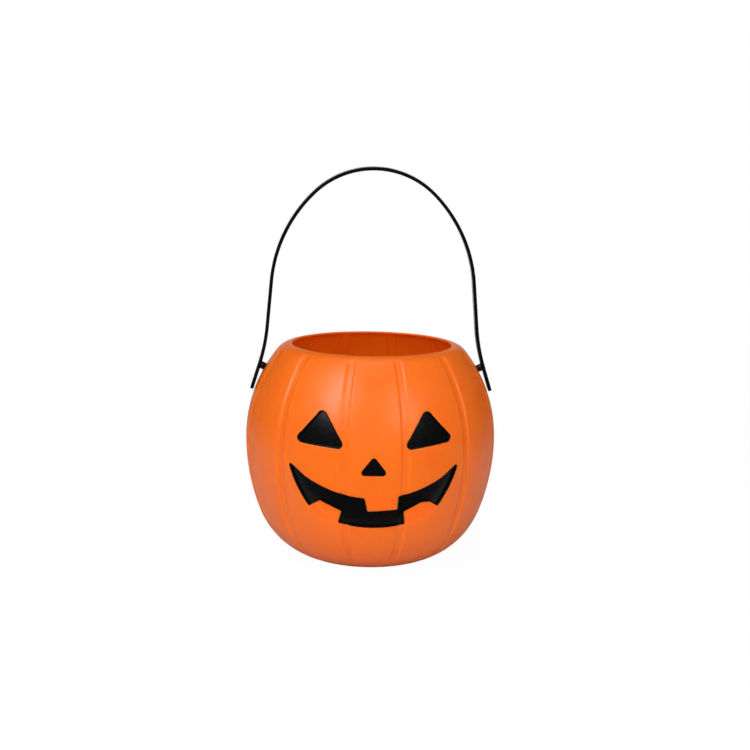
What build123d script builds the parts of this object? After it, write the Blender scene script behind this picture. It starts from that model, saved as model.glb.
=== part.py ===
from build123d import *
import os
from math import asin, atan2, cos, degrees, radians, sin, sqrt, tan

# A pumpkin candy pail: one blow-moulded shell with a recessed, painted face, and a strap handle
# whose two moulded studs snap through the wall and let it swing.
# Lengths are millimetres and angles are degrees. Z is up, the face looks along -Y, left and right
# are the viewer's, and the origin is the middle of the foot, on the surface that the pail stands on.

# Shell: the outer meridian is four tangent arcs, from the foot to the lip
belly_radius = 105.0
belly_height = 101.6
pail_height = 180.5
foot_radius = 50.0
side_radius = 167.5
side_turn = 21.9
upper_radius = 117.5
shoulder_radius = 14.9
mouth_radius = 67.0
wall = 1.6
standing_ring_width = 9.0
push_up = 3.0
push_up_step = 5.0

# Ribs: grooves along the meridians part the wall into lobes; the front lobe is narrower than those of the eyes
groove_count = 12
front_lobe_span = 27.5
eye_lobe_span = 32.3
groove_width = 7.4
groove_floor = 3.6
groove_depth = 1.1
groove_top_fade = 20.0
groove_heel_fade = 51.0
fade_overrun = 8.0

# Face: recesses drawn straight along Y, with floors that follow the belly
recess_depth = 2.4
tooth_drop = 0.5
paint_film = 0.25

eye_inner_offset = 26.1
eye_width = 34.9
eye_bottom = 111.6
eye_height = 27.9
eye_peak_offset = 15.4
eye_outer_rise = 5.4
eye_round = 3.0

nose_bottom = 90.8
nose_height = 13.3
nose_half_width = 9.8
nose_round = 1.8

mouth_half_width = 67.0
mouth_tip_height = 94.0
upper_lip_height = 70.8
lower_lip_height = 46.0
lower_lip_radius = 120.0
lower_lip_turn = 18.2
mouth_corner_radius = 30.4
mouth_corner_turn = 41.4
tooth_round = 1.4

# Tooth outlines as shares of the mouth's half width, and of its height above the lower lip.
# Each runs past the lip that it grows from.
upper_tooth_shares = ((-0.131, 0.62), (-0.081, 0.29), (0.278, 0.325), (0.288, 0.66))
left_tooth_shares = ((-0.785, 0.32), (-0.648, 0.452), (-0.378, 0.285), (-0.432, -0.01), (-0.6, -0.02))
right_tooth_shares = ((0.388, 0.0), (0.343, 0.27), (0.52, 0.4), (0.672, 0.452), (0.752, 0.31), (0.6, -0.02))

# Handle: a flat strap that bows over the mouth, with a tail below each stud
hinge_drop = 21.0
strap_width = 12.0
strap_thickness = 3.0
strap_stand_off = 5.4
tail_length = 21.0
tail_gap = 0.85
stud_run = 0.5
flare_radius = 155.5
leg_lean = 4.8
leg_length = 37.6
bow_side_radius = 117.5
bow_apex_turn = 44.5

# Studs: a round neck through the wall and a barbed head that holds it from inside
stud_radius = 3.1
stud_dip = 24.0
stud_clearance = 0.35
head_overlap = 1.1
head_stand_off = 5.4
head_length = 3.2
head_tip_radius = 2.6

# How far cutting tools run past the faces that they cut
cut_overrun = 5.0

full_turn = 360
quarter_turn = 90
front_azimuth = -90
hinge_height = pail_height - hinge_drop


def polar(length, angle):
    """Point at a length and an angle, in the plane of the sketch."""
    return Vector(length * cos(radians(angle)), length * sin(radians(angle)))


def touching_radius(start, normal, target):
    """Radius of the circle that leaves start square to its outward normal and passes through target."""
    reach = target - start
    return -reach.dot(reach) / (2 * reach.dot(normal))


class Arc:
    """One arc of the meridian, by its centre, radius and the directions of its ends."""

    def __init__(self, centre, radius, first, last):
        self.centre, self.radius, self.first, self.last = centre, radius, first, last

    def at(self, angle, depth=0):
        """Point in the given direction, a depth inside the outer surface."""
        return self.centre + polar(self.radius - depth, angle)

    def edge(self, depth, first=None):
        """The arc a depth inside the outer surface, from its first direction or a later one."""
        first = self.first if first is None else first
        middle = (first + self.last) / 2
        return ThreePointArc(self.at(first, depth), self.at(middle, depth), self.at(self.last, depth))


def meridian_arcs():
    """Heel, side, upper side and shoulder of the outer surface, each tangent to the next."""
    rise = pail_height - shoulder_radius - belly_height
    upper_turn = degrees(asin(rise / (upper_radius - shoulder_radius)))
    side = Arc(Vector(belly_radius - side_radius, belly_height), side_radius, -side_turn, 0)
    upper = Arc(Vector(belly_radius - upper_radius, belly_height), upper_radius, 0, upper_turn)
    heel_start = side.at(-side_turn)
    heel_radius = touching_radius(heel_start, polar(1, -side_turn), Vector(foot_radius, 0))
    heel_centre = heel_start - polar(heel_radius, -side_turn)
    foot_angle = degrees(atan2(-heel_centre.Y, foot_radius - heel_centre.X))
    shoulder_centre = upper.at(upper_turn, shoulder_radius)
    heel = Arc(heel_centre, heel_radius, foot_angle, -side_turn)
    shoulder = Arc(shoulder_centre, shoulder_radius, upper_turn, quarter_turn)
    return heel, side, upper, shoulder


heel, side, upper, shoulder = meridian_arcs()


def body(depth):
    """Solid of revolution whose surface lies a depth inside the outer one, with a push-up in its base."""
    foot_angle = degrees(-asin((heel.centre.Y - depth) / (heel.radius - depth)))
    foot = heel.at(foot_angle, depth)
    ring_inner = foot_radius - standing_ring_width
    top = shoulder.at(quarter_turn, depth)
    outline = [
        *Polyline((0, top.Y), (0, depth + push_up), (ring_inner - push_up_step, depth + push_up),
                  (ring_inner, depth), foot).edges(),
        heel.edge(depth, foot_angle),
        side.edge(depth),
        upper.edge(depth),
        shoulder.edge(depth),
        Line(top, (0, top.Y)),
    ]
    return revolve(Plane.YZ * make_face(outline), axis=Axis.Z, revolution_arc=full_turn)


def fade_arc(arc, start_angle, depth, fade, downwards):
    """Arc that leaves the groove's floor tangentially and has climbed the groove's depth after the fade."""
    radius = arc.radius - depth + groove_depth / (1 - cos(radians(fade)))
    start = arc.at(start_angle, depth)
    turn = -(fade + fade_overrun) if downwards else fade + fade_overrun
    centre = start - polar(radius, start_angle)
    points = [centre + polar(radius, start_angle + turn * step / 2) for step in (0, 1, 2)]
    return ThreePointArc(*points)


def groove_azimuths():
    """Directions of the grooves from the front: beside the front lobe, beside the eyes' lobes, then evenly round."""
    near = front_lobe_span / 2
    first = near + eye_lobe_span
    rest = groove_count - 2
    pitch = (full_turn - 2 * first) / (rest - 1)
    return [-near, near] + [first + index * pitch for index in range(rest)]


def groove_cutters(surface_depth):
    """Trapezoid bars along the meridians that cut the grooves of the surface at a depth.

    They widen with that depth, so that the wall between the outer and the inner grooves stays even.
    """
    floor_depth = surface_depth + groove_depth
    top_fade = fade_arc(shoulder, shoulder.first, floor_depth, groove_top_fade, downwards=False)
    heel_fade = fade_arc(heel, heel.last, floor_depth, groove_heel_fade, downwards=True)
    floor_line = Wire([top_fade, upper.edge(floor_depth), side.edge(floor_depth), heel_fade])
    path = Plane.XZ * floor_line
    if (path @ 0).Z < (path @ 1).Z:
        path = Wire([edge.reversed() for edge in reversed(path.edges())])
    spread = (groove_width - groove_floor) / groove_depth
    height = groove_depth + cut_overrun
    floor_half = groove_floor / 2 + surface_depth
    opening_half = floor_half + spread * height / 2
    corners = [(-floor_half, 0), (floor_half, 0), (opening_half, height), (-opening_half, height)]
    section = make_face(Polyline(*corners, close=True))
    start_plane = Plane(path @ 0, x_dir=Vector(0, 1, 0), z_dir=path % 0)
    bar = sweep(start_plane * section, path=path)
    return [Rot(Z=front_azimuth + azimuth) * bar for azimuth in groove_azimuths()]


def rounded_outline(corners, radius):
    """Face whose corners are arcs of a radius about the given points."""
    return offset(make_face(Polyline(*corners, close=True)), amount=radius)


def eye_outline(side_sign):
    """Leaning triangle of one eye, with a side of -1 for the viewer's left and 1 for the right."""
    inner = (eye_inner_offset + eye_round, eye_bottom + eye_round)
    outer = (eye_inner_offset + eye_width - eye_round, eye_bottom + eye_outer_rise)
    peak = (eye_inner_offset + eye_peak_offset, eye_bottom + eye_height - eye_round)
    return rounded_outline([(side_sign * x, z) for x, z in (inner, outer, peak)], eye_round)


def nose_outline():
    """Upright triangle of the nose."""
    low = nose_bottom + nose_round
    half = nose_half_width - nose_round
    peak = nose_bottom + nose_height - nose_round
    return rounded_outline([(-half, low), (half, low), (0, peak)], nose_round)


def mouth_outline():
    """Grin between one upper arc and a lower lip of five tangent arcs that end in the mouth's two tips."""
    tip = Vector(mouth_half_width, mouth_tip_height)
    upper_lip = ThreePointArc((-tip.X, tip.Y), (0, upper_lip_height), tip)
    middle = JernArc((0, lower_lip_height), (1, 0), radius=lower_lip_radius, arc_size=lower_lip_turn)
    corner = JernArc(middle @ 1, middle % 1, radius=mouth_corner_radius, arc_size=mouth_corner_turn)
    cheek = TangentArc(corner @ 1, tip, tangent=corner % 1)
    right = [middle, corner, cheek]
    left = [mirror(edge, Plane.YZ) for edge in right]
    return make_face([upper_lip, *right, *left])


def tooth_outline(shares):
    """Tooth with rounded corners, from its corner shares of the mouth."""
    rise = mouth_tip_height - lower_lip_height
    corners = [(x * mouth_half_width, lower_lip_height + z * rise) for x, z in shares]
    outline = make_face(Polyline(*corners, close=True))
    return fillet(outline.vertices(), tooth_round)


def face_prism(outline):
    """Straight tool of an outline, from the middle of the pail out through the front of the belly."""
    return extrude(Plane.XZ * outline, amount=belly_radius + cut_overrun, dir=Vector(0, -1, 0))


def paint_layer(floor_outline):
    """Film of paint over a whole recess floor."""
    return (face_prism(floor_outline) & body(recess_depth - paint_film)) - body(recess_depth)


def wall_slope(height):
    """Lean of the wall from upright, on the upper arc at a height."""
    return degrees(asin((height - belly_height) / upper_radius))


def hinge_point():
    """Middle of the wall on the hinge line, at the right."""
    depth = wall / 2
    reach = sqrt((upper_radius - depth)**2 - (hinge_height - belly_height)**2)
    return Vector(upper.centre.X + reach, hinge_height)


def hole_radius():
    """Room for the tilted neck to turn in the thickness of the wall."""
    half_wall = wall / cos(radians(wall_slope(hinge_height))) / 2
    return stud_radius / cos(radians(stud_dip)) + half_wall * tan(radians(stud_dip)) + stud_clearance


def pail_shell(eyes, nose, grin, dark_grin):
    """Moulded shell of even wall: the ribbed body with its recesses, less the same form a wall inside."""
    outer = body(0) - groove_cutters(0)
    outer -= face_prism(grin) - body(tooth_drop)
    inner = body(wall) - groove_cutters(wall)
    for outline in (*eyes, nose, dark_grin):
        outer -= face_prism(outline) - body(recess_depth)
    for outline in (*eyes, nose, grin):
        inner -= face_prism(offset(outline, amount=wall)) - body(recess_depth + wall)
    shell = outer - inner
    shell -= Pos(Z=pail_height) * Cylinder(mouth_radius, 2 * (wall + cut_overrun))
    hole_bar = Cylinder(hole_radius(), 2 * (belly_radius + cut_overrun))
    return shell - Pos(Z=hinge_height) * Rot(Y=quarter_turn) * hole_bar


def tail_lean_below(stud):
    """Lean from upright at which the end of the tail below the stud stands its gap off the wall.

    The tail's inner end corner lies on a circle about the centre of the wall's upper arc.
    """
    arm = stud - upper.centre
    corner_reach = sqrt((2 * tail_length)**2 + strap_thickness**2)
    corner_square = tail_length**2 + (strap_thickness / 2)**2
    share = (arm.dot(arm) + corner_square - (upper_radius + tail_gap)**2) / (arm.length * corner_reach)
    corner_angle = atan2(strap_thickness, 2 * tail_length)
    return degrees(atan2(arm.Y, arm.X) - asin(share) + corner_angle)


def handle_half_line():
    """Right half of the strap's middle line, from the end of its tail to the top of the bow."""
    stud = hinge_point() + polar(strap_stand_off / cos(radians(stud_dip)), stud_dip)
    tail_lean = tail_lean_below(stud)
    down = polar(1, tail_lean - quarter_turn)
    tail = Line(stud + down * tail_length, stud - down * stud_run)
    flare = JernArc(tail @ 1, tail % 1, radius=flare_radius, arc_size=leg_lean - tail_lean)
    leg = Line(flare @ 1, flare @ 1 + (flare % 1) * leg_length)
    bend_turn = quarter_turn - leg_lean - bow_apex_turn
    side_bend = JernArc(leg @ 1, leg % 1, radius=bow_side_radius, arc_size=bend_turn)
    apex_radius = (side_bend @ 1).X / sin(radians(bow_apex_turn))
    apex = JernArc(side_bend @ 1, side_bend % 1, radius=apex_radius, arc_size=bow_apex_turn)
    return [tail, flare, leg, side_bend, apex]


def stud():
    """Right stud: a neck from the strap through the wall, and a barbed head inside."""
    head_radius = hole_radius() + head_overlap
    strap_end = strap_stand_off / cos(radians(stud_dip))
    head_tip = -head_stand_off - head_length
    neck = [(0, strap_end), (stud_radius, strap_end), (stud_radius, -head_stand_off)]
    head = [(head_radius, -head_stand_off), (head_tip_radius, head_tip), (0, head_tip)]
    outline = make_face(Polyline(*neck, *head, close=True))
    turned = revolve(Plane.XZ * outline, axis=Axis.Z, revolution_arc=full_turn)
    place = hinge_point()
    return Pos(place.X, 0, place.Y) * Rot(Y=quarter_turn - stud_dip) * turned


def handle_strap():
    """Strap of a flat section along its middle line, one piece with its two studs."""
    right_line = Plane.XZ * Wire(handle_half_line())
    section = Rectangle(strap_width, strap_thickness)
    start_plane = Plane(right_line @ 0, x_dir=Vector(0, 1, 0), z_dir=right_line % 0)
    right_half = sweep(start_plane * section, path=right_line) + stud()
    return right_half + mirror(right_half, Plane.YZ)


eye_outlines = [eye_outline(-1), eye_outline(1)]
nose = nose_outline()
grin = mouth_outline()
teeth = [tooth_outline(shares) for shares in (upper_tooth_shares, left_tooth_shares, right_tooth_shares)]
dark_grin = grin - teeth

parts = {
    "pail_shell": pail_shell(eye_outlines, nose, grin, dark_grin),
    "left_eye_paint": paint_layer(eye_outlines[0]),
    "right_eye_paint": paint_layer(eye_outlines[1]),
    "nose_paint": paint_layer(nose),
    "mouth_paint": paint_layer(dark_grin),
    "handle_strap": handle_strap(),
}

os.makedirs("parts", exist_ok=True)
for name, shape in parts.items():
    export_step(shape, os.path.join("parts", name + ".step"))
    print(name, len(shape.solids()), "solids", shape.bounding_box())
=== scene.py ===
"""Pumpkin candy pail: a ribbed orange moulding with a recessed painted face and a black strap handle.

Lengths in the classes are millimetres and angles are degrees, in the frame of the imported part: Z is up,
the face looks along -Y, and left and right are the viewer's. Meshes are written in metres.
"""
import logging
from dataclasses import dataclass, field
from enum import Enum
from typing import Any, Sequence

import bmesh
import bpy
import numpy as np
from mathutils import Matrix, Vector
from mathutils.geometry import delaunay_2d_cdt
from numpy.typing import NDArray


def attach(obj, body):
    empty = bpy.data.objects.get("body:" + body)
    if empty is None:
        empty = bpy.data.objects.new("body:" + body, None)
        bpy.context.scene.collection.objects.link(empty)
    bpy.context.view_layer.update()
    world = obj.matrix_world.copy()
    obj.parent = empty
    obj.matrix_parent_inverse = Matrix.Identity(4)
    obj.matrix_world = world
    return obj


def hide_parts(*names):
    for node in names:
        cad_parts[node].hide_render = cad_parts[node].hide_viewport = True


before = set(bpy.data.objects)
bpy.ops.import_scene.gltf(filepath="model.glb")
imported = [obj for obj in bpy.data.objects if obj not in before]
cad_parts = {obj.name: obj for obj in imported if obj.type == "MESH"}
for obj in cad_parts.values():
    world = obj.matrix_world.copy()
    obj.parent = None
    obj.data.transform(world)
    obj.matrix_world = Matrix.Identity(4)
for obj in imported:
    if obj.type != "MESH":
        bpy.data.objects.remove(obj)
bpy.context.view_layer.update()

Array = NDArray[np.float64]
Numbers = NDArray[np.int64]
Flags = NDArray[np.bool_]

MM = 0.001  # metres in a millimetre
WELD = 1e-6  # metres below which two points are one
THINNEST = 2e-4  # millimetres below which a triangle is flat
MERGED = 1e-7  # millimetres below which the triangulation takes two points for one
TINY = 1e-6  # smallest divisor, and the slack of a comparison
PHOTO_WIDTH = 750

log = logging.getLogger("pumpkin_pail")


class Body(Enum):
    """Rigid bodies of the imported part."""

    PAIL = "pail"
    HANDLE = "handle"


class Side(Enum):
    """Viewer's left and right, as the sign of X."""

    LEFT = -1
    RIGHT = 1


class Slot(Enum):
    """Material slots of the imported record."""

    SHELL = "orange_polyethylene"
    STRAP = "black_polyethylene"
    PAINT = "black_paint"


def smoothstep(low: float, high: float, value: Array) -> Array:
    """Cubic ramp 3t^2 - 2t^3 at each value, from 0 at low to 1 at high."""
    share = np.clip((value - low) / (high - low), 0, 1)
    return share * share * (3 - 2 * share)


def unit(vectors: Array) -> Array:
    """Vectors scaled to length one."""
    return vectors / np.linalg.norm(vectors, axis=-1, keepdims=True)


def compass(angle: Array | float) -> Array:
    """Unit vectors in a plane at angles in radians, anticlockwise from its first axis."""
    return np.stack([np.cos(angle), np.sin(angle)], -1)


def quarter(count: int = 5) -> Array:
    """Angles in radians that part a quarter turn evenly, as many as a small round needs."""
    return np.linspace(0, np.pi / 2, count)


def raised(spot: Array, y: Array) -> Array:
    """Points over places (x, z), each at its y."""
    return np.stack([spot[:, 0], y, spot[:, 1]], 1)


def lengths_along(line: Array) -> Array:
    """Distance of each point of a line from its start, along the line."""
    return np.concatenate([[0], np.cumsum(np.linalg.norm(np.diff(line, axis=0), axis=1))])


def at_marks(marks: Array, along: Array, values: Array) -> Array:
    """Rows of values that are known at distances along a line, read off at the marks between them."""
    return np.stack([np.interp(marks, along, column) for column in values.T], 1)


def even_loop(loop: Array, step: float) -> Array:
    """Closed polyline walked at even steps.

    Args:
        loop: Corner points, without the first one repeated.
        step: Wanted distance between points.

    Returns:
        Points at equal distances along the same line.
    """
    closed = np.concatenate([loop, loop[:1]])
    along = lengths_along(closed)
    marks = np.linspace(0, along[-1], int(np.ceil(along[-1] / step)), endpoint=False)
    return at_marks(marks, along, closed)


def soften_loop(loop: Array, spread: float, step: float) -> Array:
    """Closed polyline blurred along itself by a Gaussian, which rounds its corners.

    Args:
        loop: Points of the line.
        spread: Standard deviation of the blur, along the line.
        step: Distance between points, before and after.

    Returns:
        The softened line at even steps.
    """
    even = even_loop(loop, step)
    waves = np.fft.fftfreq(len(even), d=step)
    damping = np.exp(-2 * (np.pi * waves * spread) ** 2)
    blurred = np.fft.ifft(np.fft.fft(even, axis=0) * damping[:, None], axis=0).real
    return even_loop(blurred, step)


def loop_normals(loop: Array) -> Array:
    """Outward unit normals of a closed anticlockwise polyline: its tangent turned a quarter clockwise."""
    tangent = np.roll(loop, -1, axis=0) - np.roll(loop, 1, axis=0)
    return unit(np.stack([tangent[:, 1], -tangent[:, 0]], 1))


def inside(points: Array, loop: Array) -> Flags:
    """Even-odd test: a point is inside where a ray to its right crosses the loop an odd number of times.

    Args:
        points: Points to test.
        loop: Closed polyline.

    Returns:
        True for each point inside.
    """
    start, end = loop[None], np.roll(loop, -1, axis=0)[None]
    x, y = points[:, None, 0], points[:, None, 1]
    spans = (start[..., 1] > y) != (end[..., 1] > y)
    rise = np.where(spans, end[..., 1] - start[..., 1], 1)
    crossing = start[..., 0] + (y - start[..., 1]) / rise * (end[..., 0] - start[..., 0])
    return (spans & (x < crossing)).sum(1) % 2 == 1


def depth_inside(points: Array, loop: Array) -> Array:
    """Distance to a closed polyline, positive inside it and negative outside.

    Args:
        points: Points to measure.
        loop: Closed polyline.

    Returns:
        Signed distance of each point to the nearest segment.
    """
    start = loop[None]
    run = np.roll(loop, -1, axis=0)[None] - start
    reach = points[:, None] - start
    share = np.clip((reach * run).sum(2) / np.maximum((run * run).sum(2), TINY), 0, 1)
    distance = np.linalg.norm(reach - share[..., None] * run, axis=2).min(1)
    return np.where(inside(points, loop), distance, -distance)


def inward_reach(
        loop: Array, distance: float, tries: int = 8, clearance: float = 0.8, ease: int = 2) -> Array:
    """How far each point of a loop may move inwards before it comes nearer to another part of the loop.

    Args:
        loop: Anticlockwise closed polyline.
        distance: Wanted move.
        tries: Number of even moves that are tried.
        clearance: Share of a move by which the point has to clear the loop.
        ease: Neighbours on each side over which the result is eased.

    Returns:
        The wanted move, or less at narrow tips.
    """
    normals = loop_normals(loop)
    moves = np.linspace(0, distance, tries + 1)[1:]
    clear = np.array([depth_inside(loop - move * normals, loop) > clearance * move for move in moves])
    reach = distance * np.cumprod(clear, axis=0).sum(0) / tries
    shifts = range(-ease, ease + 1)
    lowest = np.min([np.roll(reach, shift) for shift in shifts], axis=0)
    return np.mean([np.roll(lowest, shift) for shift in shifts], axis=0)


def steady_reach(loop: Array, reach: Array, spare: float = 0.1, slope: float = 0.5) -> Array:
    """Reach that changes gently along an outline and turns none of its edges round.

    An edge that moves inwards shortens by the part of its ends' change of normal that lies along it.

    Args:
        loop: Anticlockwise closed polyline.
        reach: How far each point may move inwards.
        spare: Share of an edge that is left at least.
        slope: Largest change of the reach along the loop.

    Returns:
        The reach of each point, nowhere larger than before.
    """
    normals = loop_normals(loop)
    edge = np.roll(loop, -1, axis=0) - loop
    length = np.linalg.norm(edge, axis=1)
    closing = ((np.roll(normals, -1, axis=0) - normals) * edge).sum(1) / length**2
    tightest = np.maximum(np.maximum(closing, np.roll(closing, 1)), TINY)
    along = np.cumsum(length) - length
    apart = np.abs(along[:, None] - along[None])
    apart = np.minimum(apart, length.sum() - apart)
    return (np.minimum(reach, (1 - spare) / tightest)[None] + slope * apart).min(1)


def fan_tips(loop: Array, radius: float = 0.08, sharp: float = 20.0, fine: float = 15.0) -> Array:
    """Loop with each sharp corner drawn as a tiny arc, so that what is offset from it comes out round.

    Args:
        loop: Anticlockwise closed polyline.
        radius: Radius of the arcs.
        sharp: Turn from which a corner is sharp.
        fine: Turn between the points of an arc.

    Returns:
        The loop with more points at its tips.
    """
    ahead = np.angle((np.roll(loop, -1, axis=0) - loop) @ [1, 1j])
    before = np.roll(ahead, 1)
    turn = np.angle(np.exp(1j * (ahead - before)))
    count = np.where(turn > np.radians(sharp), np.ceil(turn / np.radians(fine)).astype(int) + 1, 1)
    number = np.repeat(np.arange(len(loop)), count)
    rank = np.arange(len(number)) - np.repeat(np.cumsum(count) - count, count)
    share = rank / np.maximum(count[number] - 1, 1)
    angle = before[number] + turn[number] * share - np.pi / 2
    return loop[number] + np.where(count[number] > 1, radius, 0)[:, None] * compass(angle)


def round_corners(corners: Array, radius: float, count: int = 8) -> Array:
    """Anticlockwise polygon whose corners are arcs of one radius, tangent to both sides.

    Args:
        corners: Corner points in order.
        radius: Radius of the arcs.
        count: Points on each arc.

    Returns:
        Points of the rounded polygon.
    """
    back = unit(np.roll(corners, 1, axis=0) - corners)
    ahead = unit(np.roll(corners, -1, axis=0) - corners)
    half = np.arccos(np.clip((back * ahead).sum(1), -1, 1)) / 2
    centre = corners + unit(back + ahead) * (radius / np.sin(half))[:, None]
    reach = (radius / np.tan(half))[:, None]
    start, end = corners + back * reach - centre, corners + ahead * reach - centre
    first = np.arctan2(start[:, 1], start[:, 0])
    turn = np.angle((end[:, 0] + 1j * end[:, 1]) / (start[:, 0] + 1j * start[:, 1]))
    angle = first[:, None] + turn[:, None] * np.linspace(0, 1, count)[None]
    return (centre[:, None] + radius * compass(angle)).reshape(-1, 2)


def swell(corners: Array, radius: float, count: int = 10) -> Array:
    """Anticlockwise polygon pushed out by a radius: an arc about each corner, between its sides' normals.

    Args:
        corners: Corner points, anticlockwise.
        radius: Distance pushed out.
        count: Points on each arc.

    Returns:
        Points of the rounded outline.
    """
    run = np.roll(corners, -1, axis=0) - corners
    after = np.arctan2(-run[:, 0], run[:, 1])
    before = np.roll(after, 1)
    turn = np.mod(after - before, 2 * np.pi)
    angle = before[:, None] + turn[:, None] * np.linspace(0, 1, count)[None]
    return (corners[:, None] + radius * compass(angle)).reshape(-1, 2)


def bite(loop: Array, tooth: Array) -> Array:
    """Loop less a tooth across it: the loop outside the tooth, then the tooth's side within, walked back.

    Args:
        loop: Anticlockwise outline.
        tooth: Anticlockwise outline that crosses the loop at two places.

    Returns:
        Anticlockwise outline of what is left.
    """
    kept = ~inside(loop, tooth)
    within = inside(tooth, loop)
    first = np.flatnonzero(kept & ~np.roll(kept, 1))[0]
    begin = np.flatnonzero(within & ~np.roll(within, 1))[0]
    outer = np.roll(loop, -first, axis=0)[: kept.sum()]
    inner = np.roll(tooth, -begin, axis=0)[: within.sum()]
    return np.concatenate([outer, inner[::-1]])


def triangulate(points: Array, loops: Sequence[Numbers]) -> Numbers:
    """Constrained Delaunay triangles over points in a plane, with each loop kept as a chain of edges.

    Args:
        points: Points in the plane.
        loops: Numbers of the points along each closed chain.

    Returns:
        Anticlockwise triangles as point numbers, without the flat ones along straight edges.
    """
    edges = np.concatenate([np.stack([loop, np.roll(loop, -1)], 1) for loop in loops])
    flat = [Vector(point) for point in points.tolist()]
    _, _, faces, origin, _, _ = delaunay_2d_cdt(flat, edges.tolist(), [], 0, MERGED)
    source = np.array([numbers[0] if numbers else -1 for numbers in origin])
    triangles = source[np.array([face for face in faces if len(face) == 3])]
    corner = points[triangles]
    first, second = corner[:, 1] - corner[:, 0], corner[:, 2] - corner[:, 0]
    area = first[:, 0] * second[:, 1] - first[:, 1] * second[:, 0]
    longest = np.linalg.norm(corner - np.roll(corner, 1, axis=1), axis=2).max(1)
    triangles[area < 0] = triangles[area < 0][:, ::-1]
    return triangles[(triangles >= 0).all(1) & (np.abs(area) > THINNEST * longest)]


@dataclass
class Pen:
    """Point and heading that draw a chain of tangent lines and arcs in a plane."""

    place: Array
    heading: float
    step: float
    runs: list[Array] = field(default_factory=list)

    def draw(self, run: Array) -> "Pen":
        """Adds a run and moves the pen to its end.

        Args:
            run: Points of the run, from where the pen is.

        Returns:
            The pen.
        """
        self.runs.append(run)
        self.place = run[-1]
        return self

    def line(self, length: float) -> "Pen":
        """Straight run along the heading.

        Args:
            length: Length of the run.

        Returns:
            The pen.
        """
        count = max(2, int(np.ceil(length / self.step)) + 1)
        reach = np.linspace(0, length, count)[:, None]
        return self.draw(self.place + reach * compass(np.radians(self.heading)))

    def bend(self, radius: float, turn: float) -> "Pen":
        """Arc about a centre one radius to the side it turns to.

        Args:
            radius: Radius of the arc.
            turn: Change of heading, positive to the left.

        Returns:
            The pen.
        """
        count = max(2, int(np.ceil(np.radians(abs(turn)) * radius / self.step)) + 1)
        angle = np.radians(self.heading + np.linspace(0, turn, count))
        swing = np.sign(turn) * radius * np.stack([np.sin(angle), -np.cos(angle)], 1)
        self.heading += turn
        return self.draw(self.place + swing - swing[0])

    def bend_to(self, target: Array) -> "Pen":
        """Arc that leaves along the heading and ends at a place: it turns by twice the chord's angle.

        Args:
            target: Where the arc ends.

        Returns:
            The pen.
        """
        chord = target - self.place
        lean = np.degrees(np.arctan2(chord[1], chord[0]) - np.radians(self.heading))
        turn = 2 * ((lean + 180) % 360 - 180)
        radius = np.linalg.norm(chord) / (2 * np.sin(np.radians(abs(turn) / 2)))
        return self.bend(float(radius), float(turn))

    def points(self) -> Array:
        """All runs in one line, with the points where they meet kept once."""
        return np.concatenate([self.runs[0], *[run[1:] for run in self.runs[1:]]])


@dataclass
class Rows:
    """Rings of a body of revolution, given in the meridian plane.

    Each row of the table holds the radius and height of a centre, a reach and a direction from it, the depth
    inside that reach, and the share of the ribs that the ring keeps.
    """

    table: Array

    @classmethod
    def on_arc(cls, arc: Sequence[float], angles: Array, depth: float, fade: Array | float) -> "Rows":
        """Rings along one arc of the meridian, a depth inside it, with their shares of the ribs."""
        return cls(np.stack(np.broadcast_arrays(*arc[:3], np.radians(angles), depth, fade), 1))

    @classmethod
    def at(cls, points: Array) -> "Rows":
        """Plain rings through points (radius, height)."""
        return cls(np.pad(points, ((0, 0), (0, 4))))

    @classmethod
    def chain(cls, parts: Sequence["Rows"]) -> "Rows":
        """Several sets of rings in one."""
        return cls(np.concatenate([part.table for part in parts]))

    def turned(self) -> "Rows":
        """The same rings, last one first."""
        return Rows(self.table[::-1])

    def fade(self) -> Array:
        """Share of the ribs that each ring keeps, as a column."""
        return self.table[:, 5:]

    def __len__(self) -> int:
        """Number of rings."""
        return len(self.table)

    def place(self, extra: Array | float) -> tuple[Array, Array]:
        """Places of the rings: the centre plus what is left of the reach, along the direction.

        Args:
            extra: More depth, for each ring or for each of its points; plain rings take none.

        Returns:
            Radius and height of each ring or point.
        """
        centre_radius, centre_height, reach, angle, depth, _ = self.table.T[..., None]
        reach = np.where(reach > 0, reach - depth - extra, 0)
        return centre_radius + reach * np.cos(angle), centre_height + reach * np.sin(angle)


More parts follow.
